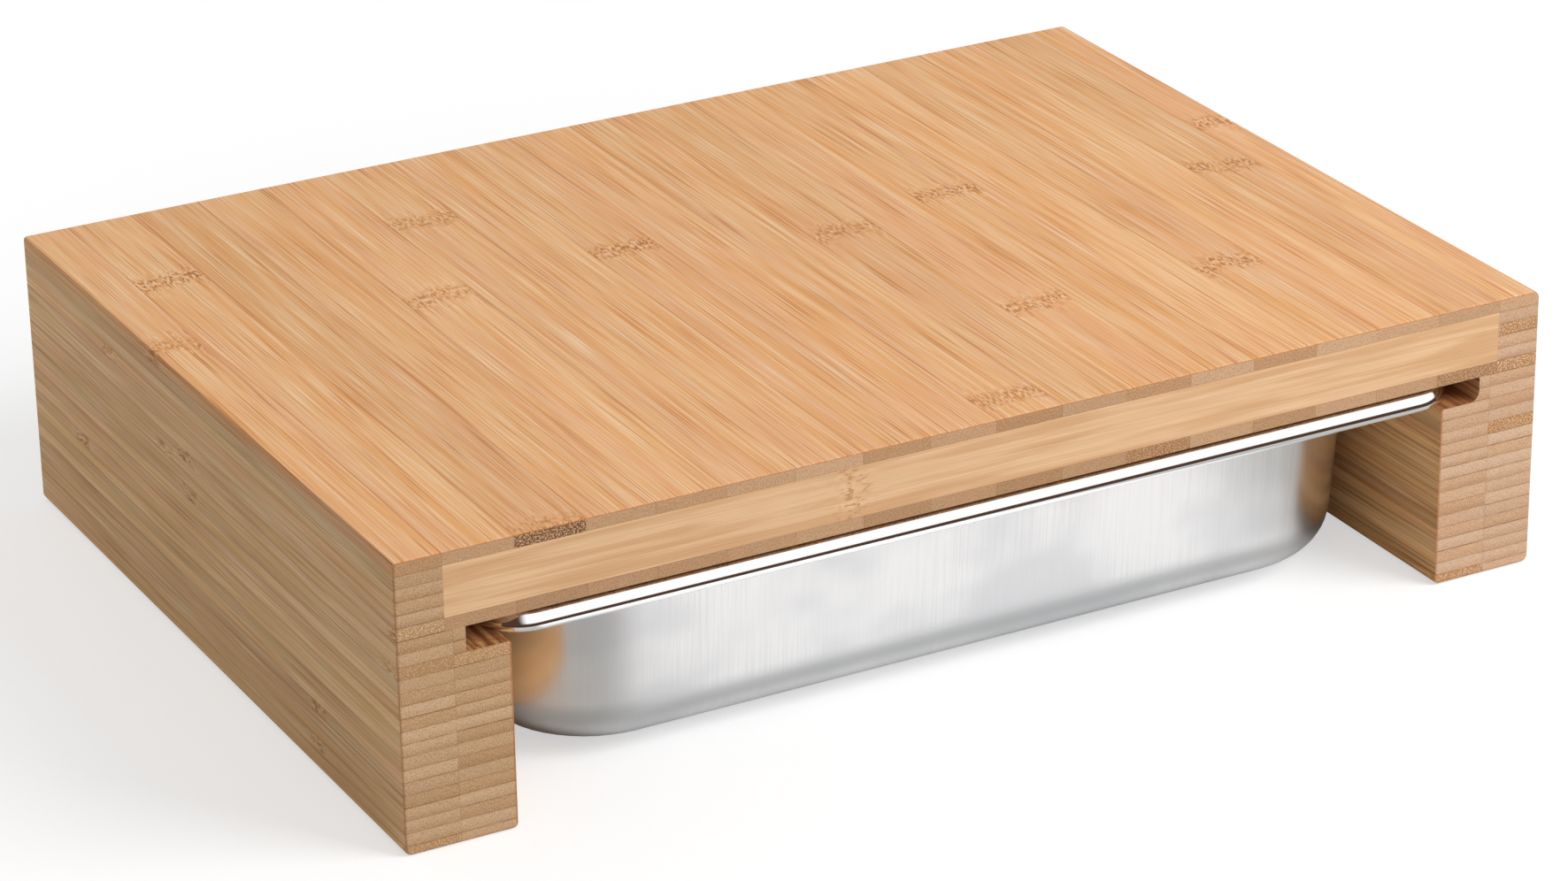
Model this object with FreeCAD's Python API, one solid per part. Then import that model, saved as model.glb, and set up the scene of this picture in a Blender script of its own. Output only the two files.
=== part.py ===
import FreeCAD, Part
import math
import os

# Bamboo cutting board on two side blocks, with a sheet-steel tray that slides in grooves
# under the board. Millimetres. +X right, +Y to the back, +Z up. The origin is on the
# worktop that the board stands on, under the middle of the board.

# Board panel: three layers of bamboo strips, the middle one across the other two
panel_strip_width = 21.9        # strips of the top and bottom layers, front to back
panel_strip_count = 16
strip_thickness = 3.95          # every flat strip, in the panel and in the side blocks
core_height = 15.8              # core strips stand on edge
core_strip_thickness = 5.5
board_depth = 275.0             # front to back

# Side blocks: an outer and an inner stack of flat strips
leg_height = 66.3               # from the worktop to the underside of the panel
outer_stack_width = 17.1
rabbet = 2.3                    # how far the panel is let into the outer stack
thinnest_strip = 1.5            # a last strip thinner than this joins its neighbour
edge_round = 2.2                # long outside edges, front to back
left_top_round = 1.2            # the same at the top left, where the board is left sharper
end_round = 0.9                 # edges of the front and the back face
foot_round = 2.0                # inner bottom edge of each side block

# Grooves, cut into the inner stacks directly under the panel
groove_height = 7.8
groove_wall = 3.9               # wood between the groove and the outer stack
groove_corner_left = 1.2
groove_corner_right = 3.2
runner_edge_round = 1.0         # inner edge of the ledge that the rim slides on

# Room for the tray in its grooves
rim_side_play = 3.3             # rim to the groove's round, with the tray in the middle
rim_right_gap = 0.4             # the same on the right, where the tray lies
rim_overlap = 3.2               # least width of rim on a runner
rim_headroom = 2.8              # rim to the panel
rim_end_gap = 5.0               # rim to the board's front and back, with the tray in the middle
tray_forward = 3.0              # how far the tray is drawn forward of the middle
wall_side_gap = 4.6             # wall to the right side block
tray_floor_clearance = 3.0      # worktop to the underside of the tray

# Tray, drawn from one sheet
sheet = 0.8
rim_corner = 15.5               # plan radius of the rim's corners
rim_bend = 3.6                  # inside radius of the turned-down edge
wall_corner = 41.0              # plan radius of the wall's corners, under the flange
wall_slope = 0.08               # the wall leans in this much for each millimetre down
mouth_bend = 2.4                # underside radius between flange and wall
floor_bend = 14.2               # inside radius between wall and floor

# Worked out
panel_width = panel_strip_width * panel_strip_count
board_width = panel_width + 2 * (outer_stack_width - rabbet)
overall_height = leg_height + 2 * strip_thickness + core_height
tray_shift = rim_side_play - rim_right_gap
rim_to_groove_end = rim_side_play + max(groove_corner_left, groove_corner_right)
groove_depth = rim_to_groove_end + tray_shift + rim_overlap + runner_edge_round
leg_width = outer_stack_width + groove_wall + groove_depth
groove_floor = leg_height - groove_height
rim_width = board_width - 2 * (outer_stack_width + groove_wall + rim_to_groove_end)
rim_depth = board_depth - 2 * rim_end_gap
flange_top = leg_height - rim_headroom
flange_width = groove_depth - rim_to_groove_end + tray_shift + wall_side_gap
right = board_width / 2
back = board_depth / 2
cut_margin = 5.0                # how far a cutting tool runs past what it cuts
hair = 1e-6                     # rounding slack


def save(name, solids):
    """Write one node: a single solid, or a group of separate solids."""
    shape = solids[0] if len(solids) == 1 else Part.makeCompound(solids)
    shape.exportStep("parts/" + name + ".step")


def block(x0, x1, y0, y1, z0, z1):
    return Part.makeBox(x1 - x0, y1 - y0, z1 - z0, FreeCAD.Vector(x0, y0, z0))


def rounded_outline(corners):
    """A face whose corners, each a point and a radius, all turn by a right angle."""
    bends = []
    for (before, _), (point, radius), (after, _) in zip(
            corners[-1:] + corners[:-1], corners, corners[1:] + corners[:1]):
        to_before = (before - point).normalize() * radius
        to_after = (after - point).normalize() * radius
        centre = point + to_before + to_after
        middle = centre - (to_before + to_after) * math.sqrt(0.5)
        bends.append((point + to_before, middle, point + to_after))
    edges = []
    for bend, following in zip(bends, bends[1:] + bends[:1]):
        if bend[0].distanceToPoint(bend[2]) > hair:
            edges.append(Part.Arc(bend[0], bend[1], bend[2]).toShape())
        if bend[2].distanceToPoint(following[0]) > hair:
            edges.append(Part.LineSegment(bend[2], following[0]).toShape())
    return Part.Face(Part.Wire(edges))


# Wood

def hollow():
    """The room under the panel: the bay between the side blocks, and the two grooves."""
    bay = right - leg_width
    groove_end = bay + groove_depth
    front_of_cut = -back - cut_margin

    def half(side, groove_corner):
        outline = [
            (bay + foot_round, -cut_margin, 0),
            (bay + foot_round, 0, 0),
            (bay, 0, foot_round),
            (bay, groove_floor, runner_edge_round),
            (groove_end, groove_floor, groove_corner),
            (groove_end, leg_height, 0),
        ]
        return [(FreeCAD.Vector(side * x, front_of_cut, z), radius) for x, z, radius in outline]

    face = rounded_outline(half(1, groove_corner_right) + half(-1, groove_corner_left)[::-1])
    return face.extrude(FreeCAD.Vector(0, board_depth + 2 * cut_margin, 0))


def all_wood():
    """The wood as one body, from which every strip is taken."""
    outline = [
        (-right, 0, edge_round),
        (right, 0, edge_round),
        (right, overall_height, edge_round),
        (-right, overall_height, left_top_round),
    ]
    front = rounded_outline([(FreeCAD.Vector(x, -back, z), radius) for x, z, radius in outline])
    body = front.extrude(FreeCAD.Vector(0, board_depth, 0))
    ends = [edge for edge in body.Edges if edge.BoundBox.YLength < hair]
    return body.makeFillet(end_round, ends).cut(hollow())


def strip(wood, x0, x1, z0, z1, y0=-back, y1=back):
    return wood.common(block(x0, x1, y0, y1, z0, z1)).Solids[0]


def panel_layers(wood):
    """Top and bottom layers of the panel: strips side by side, front to back."""
    for number in range(panel_strip_count):
        x0 = -panel_width / 2 + number * panel_strip_width
        x1 = x0 + panel_strip_width
        label = "_strip_%02d" % (number + 1)
        save("top" + label, [strip(wood, x0, x1, overall_height - strip_thickness,
                                   overall_height)])
        save("bottom" + label, [strip(wood, x0, x1, leg_height, leg_height + strip_thickness)])


def panel_core(wood):
    """Core of the panel: strips on edge, left to right, closed in by the two layers."""
    count = math.ceil(board_depth / core_strip_thickness - hair)
    bottom = leg_height + strip_thickness
    strips = []
    for number in range(count):
        y0 = -back + number * core_strip_thickness
        y1 = min(y0 + core_strip_thickness, back)
        strips.append(strip(wood, -panel_width / 2, panel_width / 2, bottom,
                            bottom + core_height, y0, y1))
    save("core_front_strip", strips[:1])
    save("core_inner_strips", strips[1:-1])
    save("core_back_strip", strips[-1:])


def layers(start, end):
    """Lower and upper face of each strip of a stack that is glued up from start to end,
    which may lie below it. The strip at the end takes what is left."""
    step = math.copysign(strip_thickness, end - start)
    heights = [start]
    while abs(end - heights[-1]) > strip_thickness + thinnest_strip:
        heights.append(heights[-1] + step)
    heights.append(end)
    return [(min(pair), max(pair)) for pair in zip(heights, heights[1:])]


def stack(wood, side, outer, inner, start, end):
    """Flat strips between two distances in from a side block's outside face."""
    x0, x1 = sorted((side * (right - outer), side * (right - inner)))
    return [strip(wood, x0, x1, z0, z1) for z0, z1 in layers(start, end)]


def outer_stack(wood, name, side):
    """Outer stack of a side block. Beside the panel, the rabbet makes it narrower."""
    panel = block(-panel_width / 2, panel_width / 2, -back, back, leg_height, overall_height)
    whole = stack(wood, side, 0, outer_stack_width, overall_height, 0)
    strips = [solid.cut(panel).Solids[0] for solid in whole]
    save(name + "_outer_top_strip", strips[:1])
    save(name + "_outer_strips", strips[1:-1])
    save(name + "_outer_bottom_strip", strips[-1:])


def inner_stack(wood, name, side):
    """Inner stack of a side block. The top of the runner strip is the groove's floor, and
    the strips over it are what the groove leaves of the stack."""
    over = stack(wood, side, outer_stack_width, leg_width, groove_floor, leg_height)
    under = stack(wood, side, outer_stack_width, leg_width, groove_floor, 0)
    save(name + "_groove_wall_strips", over)
    save(name + "_runner_strip", under[:1])
    save(name + "_inner_strips", under[1:-1])
    save(name + "_inner_bottom_strip", under[-1:])


# Tray

def tray_outline(width, depth, radius, z):
    """A rectangle with round corners about the tray's middle, at height z."""
    middle = FreeCAD.Vector(tray_shift, -tray_forward, z)
    corners = [(-1, -1), (1, -1), (1, 1), (-1, 1)]
    return rounded_outline([
        (middle + FreeCAD.Vector(x * width / 2, y * depth / 2, 0), radius)
        for x, y in corners])


def rim_slab(inset, bottom, top, bend):
    """A slab with the rim's outline, moved in by inset, and a round upper edge."""
    face = tray_outline(rim_width - 2 * inset, rim_depth - 2 * inset, rim_corner - inset, bottom)
    return round_edges_at(face.extrude(FreeCAD.Vector(0, 0, top - bottom)), top, bend)


def pan(inset, bottom, top, bend):
    """A tapered pan with a round lower edge. inset is measured from the wall's outside."""
    outlines = []
    for z in (bottom, top):
        lean = inset + wall_slope * (flange_top - z)
        width = rim_width - 2 * (flange_width + lean)
        depth = rim_depth - 2 * (flange_width + lean)
        outlines.append(tray_outline(width, depth, wall_corner - lean, z).OuterWire)
    return round_edges_at(Part.makeLoft(outlines, True, True), bottom, bend)


def level(shape, z):
    """Whether a face or an edge lies wholly at height z."""
    box = shape.BoundBox
    return abs(box.ZMin - z) < hair and abs(box.ZMax - z) < hair


def round_edges_at(solid, z, radius):
    return solid.makeFillet(radius, [edge for edge in solid.Edges if level(edge, z)])


def round_mouth_at(solid, z, radius):
    """Round the turn from the flange, whose flat face lies at height z, into the wall."""
    flat = [face for face in solid.Faces if level(face, z)][0]
    mouth = min(flat.Wires, key=lambda wire: wire.BoundBox.XLength)
    return solid.makeFillet(radius, mouth.Edges)


def tray():
    """Pan, flange and turned-down lip, in one sheet."""
    underside = flange_top - sheet
    outside = rim_slab(0, groove_floor, flange_top, rim_bend + sheet)
    under_rim = rim_slab(sheet, groove_floor - cut_margin, underside, rim_bend)
    flange = outside.cut(under_rim)
    pan_outside = pan(0, tray_floor_clearance, underside, floor_bend + sheet)
    pan_inside = pan(sheet, tray_floor_clearance + sheet, flange_top + cut_margin, floor_bend)
    shell = flange.fuse(pan_outside).cut(pan_inside).removeSplitter().Solids[0]
    shell = round_mouth_at(shell, underside, mouth_bend)
    return round_mouth_at(shell, flange_top, mouth_bend + sheet)


os.makedirs("parts", exist_ok=True)
bamboo = all_wood()
panel_layers(bamboo)
panel_core(bamboo)
for block_name, block_side in (("left", -1), ("right", 1)):
    outer_stack(bamboo, block_name, block_side)
    inner_stack(bamboo, block_name, block_side)
save("tray", [tray()])
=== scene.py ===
import math

import bmesh
import bpy
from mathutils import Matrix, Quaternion, Vector


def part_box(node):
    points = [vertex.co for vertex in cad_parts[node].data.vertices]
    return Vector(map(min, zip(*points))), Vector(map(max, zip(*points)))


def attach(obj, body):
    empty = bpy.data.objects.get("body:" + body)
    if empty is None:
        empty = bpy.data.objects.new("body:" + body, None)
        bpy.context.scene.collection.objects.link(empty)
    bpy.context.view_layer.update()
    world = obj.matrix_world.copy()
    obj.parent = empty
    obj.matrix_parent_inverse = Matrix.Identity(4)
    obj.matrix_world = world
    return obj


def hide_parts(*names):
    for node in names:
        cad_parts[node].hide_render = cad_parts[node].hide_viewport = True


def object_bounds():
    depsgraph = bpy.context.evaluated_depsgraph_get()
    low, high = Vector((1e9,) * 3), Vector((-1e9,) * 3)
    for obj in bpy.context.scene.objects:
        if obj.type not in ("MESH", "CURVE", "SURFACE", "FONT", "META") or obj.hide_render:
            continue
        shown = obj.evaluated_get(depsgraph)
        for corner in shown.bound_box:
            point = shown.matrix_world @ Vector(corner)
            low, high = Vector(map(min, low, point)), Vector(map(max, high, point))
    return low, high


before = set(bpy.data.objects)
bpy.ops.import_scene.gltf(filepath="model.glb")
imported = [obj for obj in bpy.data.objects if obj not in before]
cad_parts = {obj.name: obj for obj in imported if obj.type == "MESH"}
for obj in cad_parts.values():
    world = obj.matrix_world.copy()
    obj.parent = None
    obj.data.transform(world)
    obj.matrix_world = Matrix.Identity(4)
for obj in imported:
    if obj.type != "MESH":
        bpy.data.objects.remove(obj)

cad_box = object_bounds()


# Top layer of the board
# Sixteen flat bamboo strips with the grain from front to back, glued edge to edge and sanded
# flush with the top strip of each side block. The growth rings of the cane leave one rough
# knuckle across most strips.

class Reading:
    """A value read at each point of a surface. Sums and the like add Math nodes."""

    def __init__(self, finish, socket):
        self.finish = finish
        self.socket = socket

    def math(self, operation, *values):
        return self.finish.node("Math", 0, {"operation": operation}, dict(enumerate(values)))

    def __add__(self, other):
        return self.math("ADD", self, other)

    def __sub__(self, other):
        return self.math("SUBTRACT", self, other)

    def __rsub__(self, other):
        return self.math("SUBTRACT", other, self)

    def __mul__(self, other):
        return self.math("MULTIPLY", self, other)

    def __truediv__(self, other):
        return self.math("DIVIDE", self, other)

    def __abs__(self):
        return self.math("ABSOLUTE", self)

    __radd__ = __add__
    __rmul__ = __mul__

    def floor(self):
        return self.math("FLOOR", self)

    def fraction(self):
        return self.math("FRACT", self)

    def smaller(self, other):
        return self.math("MINIMUM", self, other)

    def larger(self, other):
        return self.math("MAXIMUM", self, other)

    def rise(self, none, full):
        """0 at one level and 1 at another, above or below it, with a smooth ramp between."""
        return self.finish.node("MapRange", 0, {"interpolation_type": "SMOOTHSTEP"},
                                {"Value": self, "From Min": none, "From Max": full})


class Finish:
    """A material, or the light of a room, built up node by node on its own shader."""

    def __init__(self, owner, shader="Principled BSDF"):
        owner.use_nodes = True
        self.owner = owner
        self.tree = owner.node_tree
        self.shader = self.tree.nodes[shader]

    def set(self, node, inputs):
        for place, value in inputs.items():
            if isinstance(value, Reading):
                self.tree.links.new(value.socket, node.inputs[place])
            else:
                node.inputs[place].default_value = value

    def node(self, kind, output, settings, inputs):
        node = self.tree.nodes.new("ShaderNode" + kind)
        for setting, value in settings.items():
            setattr(node, setting, value)
        self.set(node, inputs)
        return Reading(self, node.outputs[output])

    def coordinates(self, kind):
        """X, Y and Z of the point, or of the normal there."""
        point = self.node("TexCoord", kind, {}, {})
        return [self.node("SeparateXYZ", axis, {}, {0: point}) for axis in "XYZ"]

    def noise(self, x, y, z, detail):
        point = self.node("CombineXYZ", 0, {}, {0: x, 1: y, 2: z})
        return self.node("TexNoise", 0, {}, {"Vector": point, "Scale": 1.0, "Detail": detail})

    def chance(self, number):
        """A fixed random value from 0 to 1 for each whole number."""
        return self.node("TexWhiteNoise", 0, {"noise_dimensions": "1D"}, {"W": number})

    def blend(self, under, over, share, how="MIX"):
        return self.node("Mix", 2, {"data_type": "RGBA", "blend_type": how},
                         {0: share, 6: under, 7: over})


def shown(red, green, blue):
    """The shader's colour for one that a screen shows, each part from 0 to 255."""
    return (*(((part / 255 + 0.055) / 1.055) ** 2.4 for part in (red, green, blue)), 1.0)


knuckle_reach = 0.0074          # along the grain, from a knuckle's middle to its end
knuckle_heart = 0.0018          # the same, to where it starts to fade
knuckle_slant = 0.014           # span, along the grain, in which its middle strays
swirl_reach = 0.014             # from a knuckle's middle to where the fibres run straight
swirl_heart = 0.002             # the same, to where they start to straighten
swirl_sway = 0.0016             # span in which they sway to the side
stain_reach = 0.0009            # darker wood, out from a joint of two strips
joint_reach = 0.00030           # the glue itself, out from such a joint
seam_reach = 0.00024            # the same where two layers or stacks meet
usual_variety = 0.08            # how far the strips of one layer differ in brightness


class Bamboo(Finish):
    """Oiled bamboo in glued strips. grain is the axis that the fibres follow, joints is the
    axis, first joint and pitch of the strips, knuckles is (strip, place along the grain),
    flat and end are the tones of the faces and of the end grain, seams is the axis and place
    of other glue lines, banding is how strong the broad streaks are, 1 for a flat strip's,
    variety is how far the strips differ, and the last argument is the brightness of the left
    and right sides, a painted shade."""

    def __init__(self, name, grain, joints, knuckles, flat, end, seams, banding=1.0,
                 variety=usual_variety, painted_flank_shade=1.0):
        super().__init__(bpy.data.materials.new(name))
        self.flat = flat
        self.end = end
        self.banding = banding
        self.axes = dict(zip("xyz", self.coordinates("Object")))
        self.facing = dict(zip("xyz", self.coordinates("Normal")))
        self.along = self.axes[grain]
        self.across, self.through = [self.axes[axis] for axis in "xyz" if axis != grain]
        self.on_ends = abs(self.facing[grain]).rise(0.60, 0.80)
        self.on_faces = 1 - self.on_ends
        joint_axis, first_joint, self.pitch = joints
        self.stacked = joint_axis == "z"
        self.place = (self.axes[joint_axis] - first_joint) / self.pitch     # counted in strips
        self.strip = self.place.floor()
        self.depth = self.place.fraction()

        self.add_knuckles(knuckles)
        self.add_grain()
        colour = self.blend(self.flat_colour(), self.end_colour(), self.on_ends)
        colour = self.stain_knuckles(colour)
        colour = self.glue_up(colour, seams)
        colour = self.darken_edges(colour)
        colour = self.blend(colour, self.brightness(variety, painted_flank_shade), 1.0, "MULTIPLY")
        relief = (self.fibres * 0.5 + self.streaks * 0.2 - self.dark_stroke * 0.35 - self.glue
                  - self.pores * self.on_ends * 0.5)
        bump = self.node("Bump", 0, {},
                         {"Strength": 0.15, "Distance": 0.0002, "Height": relief})
        self.set(self.shader, {
            "Specular IOR Level": 0.2,
            "Base Color": colour,
            "Roughness": (0.46 + self.fibres * 0.12 + self.on_ends * 0.08
                          + self.dark_stroke * 0.1),
            "Normal": bump,
        })

    def speckle(self, across, through, along, detail):
        """Noise with so many grains to the metre across, through and along a strip."""
        return self.noise(self.across * across, self.through * through, self.along * along,
                          detail)

    def add_knuckles(self, knuckles):
        """Where the knuckles are, and the short strokes that fill them. The strokes are finer
        on the end of a strip that was sawn off through its knuckle."""
        slant = self.noise(self.across * 80, self.through * 80, self.strip, 1.0) - 0.5
        slant = slant * knuckle_slant
        nearest = 1.0
        for number, centre in knuckles:
            # Another strip counts as a metre away, so a knuckle ends at its strip's joints
            distance = abs(self.along - centre + slant) + abs(self.strip - number)
            nearest = distance.smaller(nearest)
        knuckle = nearest.rise(knuckle_reach, knuckle_heart)
        strokes = (self.speckle(1050, 1500, 430, 1.0) * self.on_faces
                   + self.speckle(1700, 2300, 480, 1.0) * self.on_ends)
        clumps = self.speckle(300, 300, 240, 1.0) + self.on_ends * 0.2
        strength = 0.5 + self.chance(self.strip + 19) * 0.5
        dark = (strokes + self.on_ends * 0.06).rise(0.49, 0.59) * clumps.rise(0.30, 0.50)
        self.dark_stroke = dark * knuckle * strength.larger(self.on_ends)
        self.pale_stroke = strokes.rise(0.48, 0.36) * knuckle * strength
        self.knuckle = knuckle
        self.swirl = nearest.rise(swirl_reach, swirl_heart)

    def add_grain(self):
        """Grain in five widths, straight but for a sway at each knuckle, and the pores that
        show where it is cut across. Each strip has grain of its own."""
        sway = (self.speckle(260, 260, 150, 1.0) - 0.5) * self.swirl * swirl_sway
        sideways = self.across + sway + self.strip * 0.37
        upward = self.through + sway

        def drawn_out(width, length, detail, shift=0):
            return self.noise(sideways * width + shift, upward * width, self.along * length,
                              detail)

        self.fibres = drawn_out(2400, 24, 3.0)
        self.streaks = drawn_out(420, 7, 2.0)
        self.tint = drawn_out(95, 5, 2.0)
        self.patches = drawn_out(330, 16, 1.0, shift=7)
        self.threads = drawn_out(2500, 18, 2.0, shift=3)
        self.pores = self.speckle(2600, 1700, 160, 2.0)

    def flat_colour(self):
        """Flat grain, with dark threads in some patches and pale ones in others."""
        lines = 0.25 + 0.5 * self.banding
        veins = self.threads.rise(0.52, 0.68) * self.patches.rise(0.34, 0.54) * lines
        gleams = self.threads.rise(0.46, 0.32) * self.patches.rise(0.64, 0.46) * lines
        bands = self.streaks.rise(0.44, 0.62) * (0.5 * self.banding)
        wood = self.blend(self.flat["pale"], self.flat["deep"], self.fibres.rise(0.32, 0.66))
        wood = self.blend(wood, self.flat["golden"], bands)
        wood = self.blend(wood, self.flat["rosy"], self.tint.rise(0.46, 0.62) * 0.4)
        wood = self.blend(wood, self.flat["vein"], veins)
        return self.blend(wood, self.flat["gleam"], gleams)

    def end_colour(self):
        """End grain, dotted all over. In a stack, each strip is darker at one side, where its
        dots lay closest in the cane."""
        butt = self.blend(self.end["pale"], self.end["grey"], self.chance(self.strip + 7))
        if self.stacked:
            dense = self.depth.rise(0.30, 1.0) * (0.10 + self.chance(self.strip + 11) * 0.35)
            butt = self.blend(butt, self.end["dot"], dense)
        butt = self.blend(butt, self.end["dot"], self.pores.rise(0.46, 0.66) * 0.42)
        return self.blend(butt, self.end["pale"], self.pores.rise(0.50, 0.34) * 0.45)

    def stain_knuckles(self, colour):
        stroke = self.blend(shown(162, 100, 58), self.end["node"], self.on_ends)
        dark_share = self.dark_stroke * (0.55 + 0.3 * self.banding)
        pale_share = self.pale_stroke * (0.55 - self.on_ends * 0.1)
        colour = self.blend(colour, self.flat["golden"], self.knuckle * self.on_faces * 0.4)
        colour = self.blend(colour, stroke, dark_share)
        return self.blend(colour, self.flat["gleam"], pale_share)

    def glue_up(self, colour, seams):
        """Glue lines, plainer on the ends than on the faces. On the faces, the wood beside
        them is darker in patches."""
        gap = (0.5 - abs(self.depth - 0.5)) * abs(self.pitch)
        beside = gap.rise(stain_reach, 0.0001) * self.patches.rise(0.40, 0.60) * self.on_faces
        colour = self.blend(colour, self.flat["vein"], beside * 0.45)
        face_mark = 0.10
        end_mark = 0.25
        if self.stacked:
            end_mark = 0.25 + self.chance((self.place + 0.5).floor() + 31) * 0.6
        mark = face_mark + (end_mark - face_mark) * self.on_ends
        glue = gap.rise(joint_reach, 0.00004) * mark
        for axis, place in seams:
            seam = abs(self.axes[axis] - place).rise(seam_reach, 0.00006) * 0.25
            glue = seam.larger(glue)
        self.glue = glue
        uneven = self.speckle(220, 220, 60, 3.0).rise(0.30, 0.55)
        brown = self.blend(shown(172, 106, 54), shown(128, 86, 52), self.on_ends)
        return self.blend(colour, brown, glue * (0.4 + uneven * 0.6))

    def darken_edges(self, colour):
        """Rounded edges, where no side faces straight out, are darker, unevenly."""
        straight = abs(self.facing["x"]).larger(abs(self.facing["y"]))
        edge_darkening = straight.larger(abs(self.facing["z"])).rise(0.97, 0.75)
        edge_darkening = edge_darkening * (0.4 + self.speckle(420, 420, 90, 3.0) * 0.8)
        return self.blend(colour, shown(166, 98, 52), edge_darkening * 0.6)

    def brightness(self, variety, painted_flank_shade):
        """Around 1, and different for each strip. Ends differ by the usual amount. Faces that
        look left or right may be darkened, a painted shade.
        """
        differs = usual_variety + (variety - usual_variety) * self.on_faces
        tone = 1 + (self.chance(self.strip + 3) - 0.5) * differs
        tone = tone + (self.streaks - 0.5) * (0.16 * self.banding)
        # painted shade on the faces that look left or right
        if painted_flank_shade != 1.0:
            tone = tone * (1 - abs(self.facing["x"]).rise(0.75, 0.98) * (1 - painted_flank_shade))
        return tone


def dress(nodes, finish):
    for node in nodes:
        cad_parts[node].data.materials[0] = finish.owner


back = cad_box[1].y
strip_pitch = 0.0219
panel_left = -0.1752
top_glue_line = 0.08605         # height of the joint between the top layer and the core
strip_numbers = range(1, 17)
# Distance of each strip's knuckle from the back edge, from the left side block to the right one
knuckles_from_back = {-1: 0.105, 0: 0.0575, 1: 0.2735, 3: 0.110, 4: 0.051, 6: 0.104, 8: 0.262,
                      9: 0.126, 10: 0.206, 11: 0.1145, 13: 0.209, 15: 0.139, 16: 0.104}
honey = {"pale": shown(249, 202, 152), "deep": shown(236, 177, 118),
         "golden": shown(226, 154, 82), "rosy": shown(234, 175, 134),
         "vein": shown(192, 114, 48), "gleam": shown(255, 222, 184)}
butt_ends = {"pale": shown(205, 167, 132), "grey": shown(180, 138, 98),
             "dot": shown(142, 98, 62), "node": shown(102, 57, 30)}
# The last setting paints shade on the left and right faces of the outermost top strips.
top_layer = Bamboo(
    "oiled bamboo, top layer", "y", ("x", panel_left, strip_pitch),
    [(strip, back - distance) for strip, distance in knuckles_from_back.items()],
    honey, butt_ends, [("z", top_glue_line)], painted_flank_shade=0.72)
dress(["top_strip_%02d" % number for number in strip_numbers], top_layer)
dress(["left_outer_top_strip", "right_outer_top_strip"], top_layer)


# Core of the board
# Paler bamboo strips on edge, from left to right, closed in between the two flat layers.
# Only the front and the back one show.

front = cad_box[0].y
core_strip = 0.0055
bottom_glue_line = 0.07025      # height of the joint between the core and the bottom layer
hair = 0.00001                  # keeps a first joint off the face that it would lie on
cream = {"pale": shown(232, 195, 154), "deep": shown(220, 180, 137),
         "golden": shown(225, 183, 138), "rosy": shown(226, 184, 144),
         "vein": shown(196, 144, 96), "gleam": shown(236, 200, 160)}
core = Bamboo(
    "oiled bamboo, core", "x", ("y", front - hair, core_strip), [(0, -0.048), (50, 0.061)],
    cream, butt_ends,
    [("z", bottom_glue_line), ("z", top_glue_line), ("x", panel_left), ("x", -panel_left)],
    banding=0.1)
dress(["core_front_strip", "core_inner_strips", "core_back_strip"], core)


# Bottom layer of the board
# Sixteen flat strips with the grain from front to back, as on top but of a duller grade,
# glued up under the core. They are the ceiling of the bay for the tray.

dull_honey = {"pale": shown(216, 172, 128), "deep": shown(190, 142, 98),
              "golden": shown(196, 142, 92), "rosy": shown(196, 146, 110),
              "vein": shown(150, 102, 64), "gleam": shown(226, 188, 148)}
dull_ends = {"pale": shown(198, 158, 122), "grey": shown(175, 135, 98),
             "dot": shown(132, 92, 58), "node": shown(156, 112, 74)}
bottom_layer = Bamboo(
    "oiled bamboo, bottom layer", "y", ("x", panel_left, strip_pitch),
    [(2, 0.031), (5, -0.052), (7, 0.094), (10, front), (12, -0.024), (15, front), (14, 0.066)],
    dull_honey, dull_ends, [("z", bottom_glue_line)])
dress(["bottom_strip_%02d" % number for number in strip_numbers], bottom_layer)


# Side blocks
# Each is two stacks of flat strips, glued face to face and then to each other. The groove
# for the tray is cut into the inner stack with a router, which scorches it. The groove's
# dark colour holds painted shade as well as the scorching.

strip_thickness = 0.00395
outer_stack_width = 0.0171
groove_floor = 0.0585
groove_height = 0.0078
bay_side = 0.1554               # from the middle of the board to a side block's inner side
groove_dark_start = 0.1545           # from the middle too, to where the scorching and painted groove shade start to show
groove_dark_full = 0.1560            # the same, to where it is full
groove_dark_fade = 0.0002            # how far it fades over the groove's floor and ceiling
edge_reach = 0.0008             # darker wood, out from the bay's sharp edge
stack_joint = cad_box[1].x - outer_stack_width
straw = {"pale": shown(226, 190, 146), "deep": shown(212, 172, 124),
         "golden": shown(208, 166, 108), "rosy": shown(204, 150, 108),
         "vein": shown(178, 130, 84), "gleam": shown(236, 206, 168)}
russet = {"pale": shown(228, 184, 134), "deep": shown(208, 158, 104),
          "golden": shown(204, 148, 84), "rosy": shown(202, 140, 92),
          "vein": shown(150, 96, 52), "gleam": shown(236, 198, 150)}
left_ends = {"pale": shown(208, 174, 138), "grey": shown(186, 147, 107),
             "dot": shown(142, 98, 60), "node": shown(176, 134, 90)}
right_ends = {"pale": shown(214, 181, 151), "grey": shown(200, 160, 124),
              "dot": shown(154, 108, 74), "node": shown(168, 116, 62)}


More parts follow.
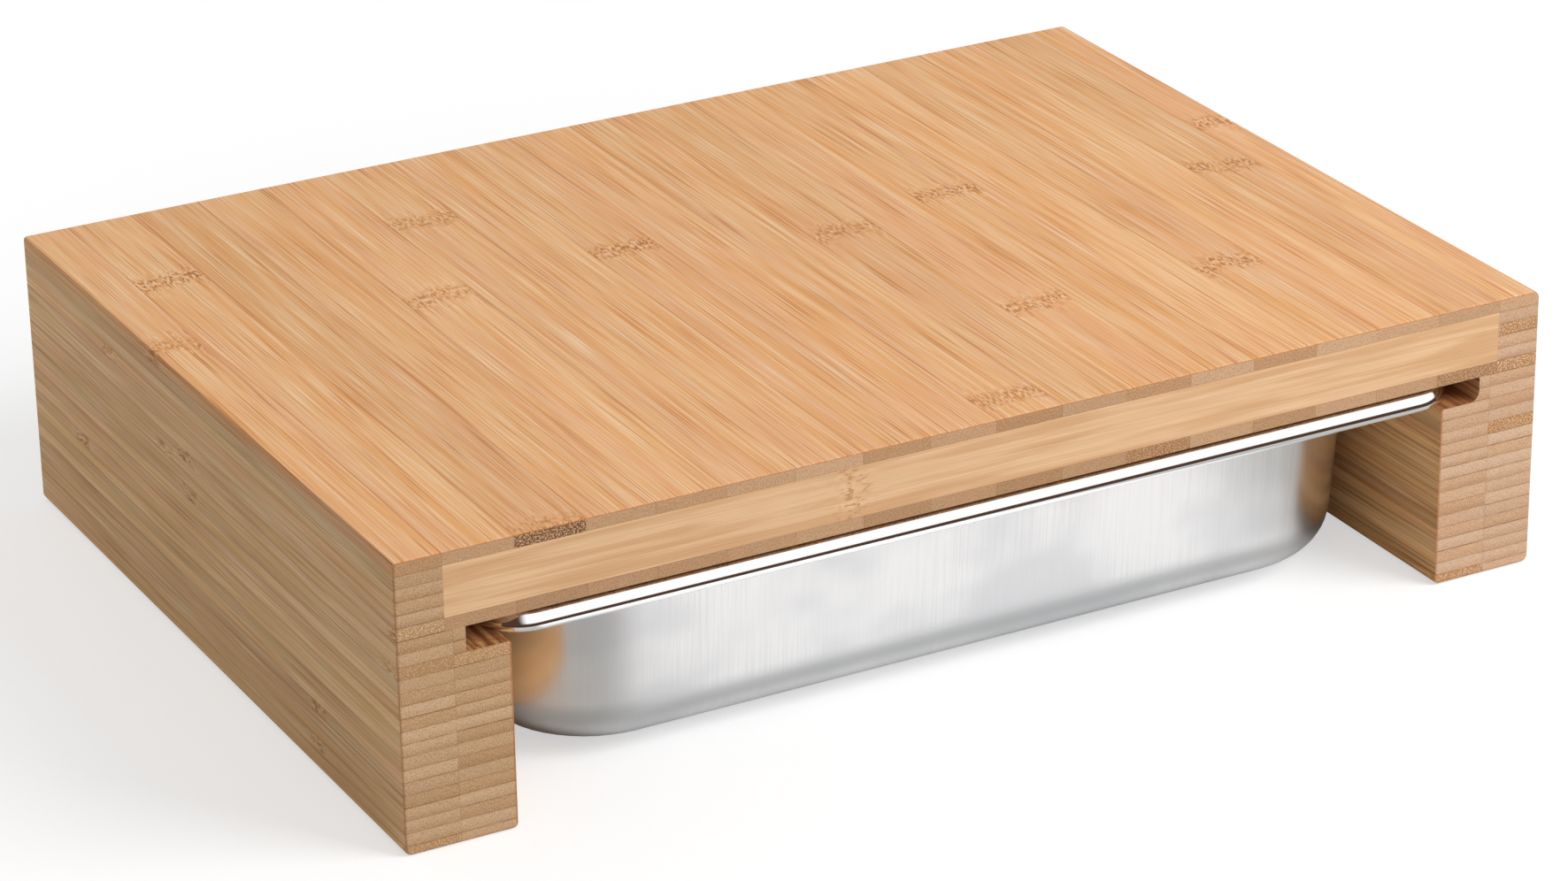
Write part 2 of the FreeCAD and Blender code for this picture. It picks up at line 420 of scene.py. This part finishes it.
class RoutedBamboo(Bamboo):
    """The same bamboo, with the marks of the router beside the bay, and in the groove the
    router's scorching together with painted shade.
    """

    def darken_edges(self, colour):
        """The bay's sharp edge has darkened too, on the ends. The groove's scorching and painted
        shade lie over the darker edges.
        """
        outward = abs(self.axes["x"])
        sharp_edge = abs(outward - bay_side).rise(edge_reach, 0.0002) * self.on_ends
        colour = self.blend(colour, shown(176, 108, 54), sharp_edge * 0.7)
        colour = super().darken_edges(colour)
        half_height = groove_height / 2
        off_middle = abs(self.axes["z"] - (groove_floor + half_height))
        in_groove = (outward.rise(groove_dark_start, groove_dark_full)
                     * off_middle.rise(half_height + groove_dark_fade, half_height))
        # the router's scorching, with the painted shade of the recess in the same colour
        scorch_and_painted_shade = in_groove * self.on_faces * (0.75 - self.streaks.rise(0.56, 0.44) * 0.55)
        return self.blend(colour, shown(104, 48, 26), scorch_and_painted_shade)


def side_block(side, name, end, outer_knuckles, inner_knuckles):
    seam = [("x", side * stack_joint)]
    outer = Bamboo("oiled bamboo, %s outer stack" % name, "y",
                   ("z", cad_box[1].z + hair, -strip_thickness), outer_knuckles,
                   straw, end, seam, banding=1.25, variety=0.2)
    inner = RoutedBamboo("oiled bamboo, %s inner stack" % name, "y",
                         ("z", groove_floor + hair, -strip_thickness), inner_knuckles,
                         russet, end, seam, variety=0.35)
    dress([name + "_outer_strips", name + "_outer_bottom_strip"], outer)
    dress([name + "_groove_wall_strips", name + "_runner_strip", name + "_inner_strips",
           name + "_inner_bottom_strip"], inner)


side_block(-1, "left", left_ends,
           [(3, 0.0695), (5, front), (6, 0.0095), (7, 0.0285), (8, front), (9, 0.0075),
            (13, 0.0975), (17, -0.0805), (20, -0.0805), (22, front)],
           [(0, front), (3, -0.115), (9, 0.062), (14, 0.020)])
side_block(1, "right", right_ends,
           [(2, front), (5, front), (8, 0.041), (10, front), (13, -0.066), (16, 0.083),
            (19, -0.012)],
           [(2, 0.054), (7, -0.031), (11, 0.088), (14, front)])


# Tray
# Drawn from one stainless sheet: satin walls, and a polished rim that slopes down to a narrow
# upright lip. The rim rests in the two grooves, and the tray pulls out to the front.

sheet = 0.0008
lip_bottom = groove_floor
lip_height = 0.0006
rim_corner = 0.0155
lip_roll = 0.0046               # outside, from the lip up into the slope
rim_slope = math.radians(61)    # the slope's normal leans this far out from upright
shoulder_roll = 0.0010          # from the slope onto the flat of the flange
flange_width = 0.0146
wall_corner = 0.041
wall_slope = 0.08
mouth_roll = 0.0032
floor_roll = 0.0142
low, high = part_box("tray")
tray_centre = (low + high) / 2
tray_half = (high - low) / 2
lean = math.atan(wall_slope)
floor_top = low.z + sheet


def wall_inset(height):
    """How far the wall's inside face lies in from the rim's edge."""
    return flange_width + sheet + wall_slope * (high.z - height)


def arc(inset, height, radius, start, end, steps=8):
    """Points of a bend in the profile, as inset and height, between two angles."""
    angles = [start + (end - start) * step / steps for step in range(steps + 1)]
    return [(inset + radius * math.cos(a), height + radius * math.sin(a)) for a in angles]


def rim_profile():
    """Inset and height of each turn of the sheet, from the lip to the flat of the flange."""
    tilt = math.pi / 2 - rim_slope
    lip_top = lip_bottom + lip_height
    rim = [(0, lip_bottom)] + arc(lip_roll, lip_top, lip_roll, math.pi, math.pi - tilt)
    shoulder_height = high.z - shoulder_roll
    slope_foot, slope_bottom = rim[-1]
    slope_top = shoulder_height + shoulder_roll * math.sin(tilt)
    slope_head = slope_foot + (slope_top - slope_bottom) * math.tan(tilt)
    shoulder = slope_head + shoulder_roll * math.cos(tilt)
    return rim + arc(shoulder, shoulder_height, shoulder_roll, math.pi - tilt, math.pi / 2)


def wall_profile():
    """Inset and height of each turn of the sheet, from the mouth down to the floor."""
    mouth_height = high.z - mouth_roll
    mouth_inset = wall_inset(mouth_height) - mouth_roll / math.cos(lean)
    floor_height = floor_top + floor_roll
    floor_inset = wall_inset(floor_height) + floor_roll / math.cos(lean)
    mouth = arc(mouth_inset, mouth_height, mouth_roll, math.pi / 2, lean)
    return mouth + arc(floor_inset, floor_height, floor_roll, math.pi + lean, math.pi * 1.5)


def rounded_turn(mesh, inset, height, radius):
    """The edges of a rectangle with round corners, one turn of the sheet."""
    corners = bmesh.ops.create_grid(mesh, x_segments=1, y_segments=1, size=1)["verts"]
    bmesh.ops.scale(mesh, vec=(tray_half.x - inset, tray_half.y - inset, 1), verts=corners)
    bmesh.ops.translate(mesh, vec=(tray_centre.x, tray_centre.y, height), verts=corners)
    bmesh.ops.bevel(mesh, geom=corners, affect="VERTICES", offset=radius, segments=12,
                    profile=0.5, material=-1)
    face = next(iter(mesh.faces))
    edges = face.edges[:]
    bmesh.ops.delete(mesh, geom=[face], context="FACES_ONLY")
    return edges


def tray_mesh():
    mesh = bmesh.new()
    turns = [rounded_turn(mesh, inset, height, rim_corner - inset)
             for inset, height in rim_profile()]
    turns += [rounded_turn(mesh, inset, height, wall_corner + flange_width - inset)
              for inset, height in wall_profile()]
    for upper, lower in zip(turns, turns[1:]):
        bmesh.ops.bridge_loops(mesh, edges=upper + lower)
    bmesh.ops.edgeloop_fill(mesh, edges=turns[-1])
    bmesh.ops.recalc_face_normals(mesh, faces=mesh.faces)
    bmesh.ops.solidify(mesh, geom=mesh.faces[:], thickness=sheet)
    return mesh


def steel():
    """Stainless sheet, polished on the rim and satin inside it: rubbed up and down on the
    walls and lengthways on the floor, duller in patches that are partly painted reflection,
    and darker low on the wall with a painted reflection of the shaded worktop."""
    finish = Finish(bpy.data.materials.new("stainless sheet, satin walls and polished rim"))
    x, y, z = finish.coordinates("Object")
    facing_x, _, facing_z = finish.coordinates("Normal")
    on_side = abs(facing_x).rise(0.45, 0.85)
    on_level = abs(facing_z).rise(0.55, 0.85)
    rubbed_front = finish.noise(x * 2300, y * 60, z * 30, 3.0)
    rubbed_side = finish.noise(y * 2300, x * 60, z * 30, 3.0)
    rubbed_floor = finish.noise(y * 1900, x * 16, z * 60, 3.0)
    rubbed = rubbed_front * (1 - on_side) + rubbed_side * on_side
    rubbed = rubbed * (1 - on_level) + rubbed_floor * on_level
    patches = finish.noise(x * 26, y * 26, z * 14, 2.0)
    dull_and_reflection_patches = finish.noise(x * 24, y * 24, z * 34, 2.0)
    swell = finish.noise(x * 17, y * 17, z * 9, 1.0)

    polish_width = flange_width - 0.0003
    polish_fade = 0.001
    polish_x = tray_half.x - polish_width
    polish_y = tray_half.y - polish_width
    rim = abs(x - tray_centre.x).rise(polish_x - polish_fade, polish_x).larger(
        abs(y - tray_centre.y).rise(polish_y - polish_fade, polish_y))
    satin = 1 - rim
    low_reflection_from = (0.0095, 0.0140)    # heights where the painted dark reflection low on the wall starts and is full
    low_reflection_to = (0.0200, 0.0150)      # the same from above
    painted_low_reflection = z.rise(*low_reflection_from) * z.rise(*low_reflection_to)

    brushed = rubbed.rise(0.42, 0.62) * (0.15 + patches.rise(0.40, 0.62) * 0.25) * satin
    colour = finish.blend(shown(254, 254, 254), shown(245, 245, 245), satin)
    # duller patches in the satin, partly painted reflection
    colour = finish.blend(colour, shown(225, 226, 228), dull_and_reflection_patches.rise(0.39, 0.68) * satin)
    colour = finish.blend(colour, shown(222, 222, 223), brushed)
    # painted dark reflection of the shaded worktop, low on the wall
    colour = finish.blend(colour, shown(206, 207, 208), painted_low_reflection * 0.8)
    relief = rubbed * satin * 0.01 + swell * satin * 2.2
    bump = finish.node("Bump", 0, {}, {"Strength": 0.5, "Distance": 0.0004, "Height": relief})
    finish.set(finish.shader, {
        "Metallic": 1.0,
        "Base Color": colour,
        "Roughness": 0.08 + satin * (0.12 + rubbed * 0.02 + patches * 0.06),
        "Normal": bump,
    })
    return finish.owner


def piece(name, mesh, material):
    data = bpy.data.meshes.new(name)
    mesh.to_mesh(data)
    mesh.free()
    data.materials.append(material)
    made = bpy.data.objects.new(name, data)
    bpy.context.scene.collection.objects.link(made)
    return made


tray = piece("steel_tray", tray_mesh(), steel())
tray.data.shade_smooth()
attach(tray, "tray")
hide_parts("tray")


# Worktop, light and camera
# A pale worktop that takes the shadow, in a white room. One large soft lamp stands at the
# front right, and a small one at the back left brightens the shaded side.

white = (1, 1, 1, 1)
black = (0, 0, 0, 1)
# colour of the painted shade that the steel sees in the worktop
mirror_shade_grey = (0.33, 0.345, 0.335, 1)
worktop_brown = shown(72, 48, 36)
room_brown = shown(78, 54, 42)
worktop_size = 3.0              # from its middle to each side
worktop_drop = 0.0002           # keeps it off the feet of the side blocks


def grey(level):
    return (level, level, level, 1)


def pale_worktop():
    """The camera sees it as white as the room, but for the shadow near the board. For the
    steel's reflections alone it carries painted shade towards both sides and between the
    board's front and back, and it is dark far out."""
    finish = Finish(bpy.data.materials.new("pale worktop"))
    x, y, _ = finish.coordinates("Object")
    seen = finish.node("LightPath", "Is Camera Ray", {}, {})
    mirrored = finish.node("LightPath", "Is Glossy Ray", {}, {})
    outward = x * x + y * y * 1.6
    open_floor = seen * outward.rise(0.10, 0.40)
    far = mirrored * outward.rise(0.34, 0.54)
    # painted shade that only the steel's reflections see: towards both sides and under the board
    left = x.rise(-0.07, -0.13) * 0.51
    right = x.rise(0.11, 0.17) * 0.68
    between = abs(y).rise(0.142, 0.120) * 0.35
    painted_mirror_shade = mirrored * left.larger(right).larger(between)
    colour = finish.blend(grey(0.86), grey(0.55), seen)
    # painted shade, seen only in the steel
    colour = finish.blend(colour, mirror_shade_grey, painted_mirror_shade)
    colour = finish.blend(colour, worktop_brown, far)
    colour = finish.blend(colour, black, open_floor)
    unlit = far.larger((painted_mirror_shade * 2).smaller(1))
    glow = seen * 0.55 + open_floor * 0.47 + (mirrored - unlit) * 0.22
    finish.set(finish.shader, {
        "Base Color": colour,
        "Roughness": 0.9,
        "Specular IOR Level": 0.0,
        "Emission Color": finish.blend(black, white, glow),
        "Emission Strength": 1.0,
    })
    return finish.owner


table = bmesh.new()
bmesh.ops.create_grid(table, x_segments=1, y_segments=1, size=worktop_size)
bmesh.ops.translate(table, vec=(0, 0, -worktop_drop), verts=table.verts)
worktop = piece("worktop", table, pale_worktop())


def white_room():
    """White to the camera and through glass. The steel mirrors it white from above, except
    on the left, and dark from there and from low down."""
    world = bpy.data.worlds.new("white room")
    room = Finish(world, "Background")
    direct = room.node("LightPath", "Is Camera Ray", {}, {}).larger(
        room.node("LightPath", "Is Transmission Ray", {}, {}))
    mirrored = room.node("LightPath", "Is Glossy Ray", {}, {})
    toward_x, _, toward_z = room.coordinates("Generated")
    bright = toward_z.rise(0.18, 0.23) * toward_x.rise(-0.45, -0.15)
    reflection = room.blend(room_brown, white, bright)
    colour = room.blend(grey(0.45), reflection, mirrored)
    colour = room.blend(colour, white, direct)
    room.set(room.shader, {"Color": colour, "Strength": 1.0})
    return world


bpy.context.scene.world = white_room()


def soft_lamp(name, place, size, energy):
    """A square lamp that points at the worktop under the board and doesn't show in the steel."""
    data = bpy.data.lights.new(name, "AREA")
    data.energy = energy
    data.size = size
    lamp = bpy.data.objects.new(name, data)
    lamp.location = place
    lamp.rotation_mode = "QUATERNION"
    lamp.rotation_quaternion = Vector(place).to_track_quat("Z", "Y")
    lamp.visible_glossy = False
    bpy.context.scene.collection.objects.link(lamp)


soft_lamp("large lamp", (1.06, -1.18, 1.22), 1.1, 28.0)
soft_lamp("fill lamp", (-0.48, 0.45, 0.15), 0.3, 0.36)

camera_azimuth = math.radians(28.179)
camera_drop = math.radians(24.195)
camera_roll = math.radians(0.879)
camera_data = bpy.data.cameras.new("camera")
camera_data.lens = 122.59
camera_data.sensor_width = 36.0
camera_data.sensor_fit = "HORIZONTAL"
camera = bpy.data.objects.new("camera", camera_data)
camera.location = (-0.71189, -1.33735, 0.71099)
forward = Vector((math.sin(camera_azimuth) * math.cos(camera_drop),
                  math.cos(camera_azimuth) * math.cos(camera_drop), -math.sin(camera_drop)))
camera.rotation_mode = "QUATERNION"
camera.rotation_quaternion = (forward.to_track_quat("-Z", "Y")
                              @ Quaternion((0, 0, 1), -camera_roll))
bpy.context.scene.collection.objects.link(camera)
bpy.context.scene.camera = camera
bpy.context.scene.view_settings.view_transform = "Standard"
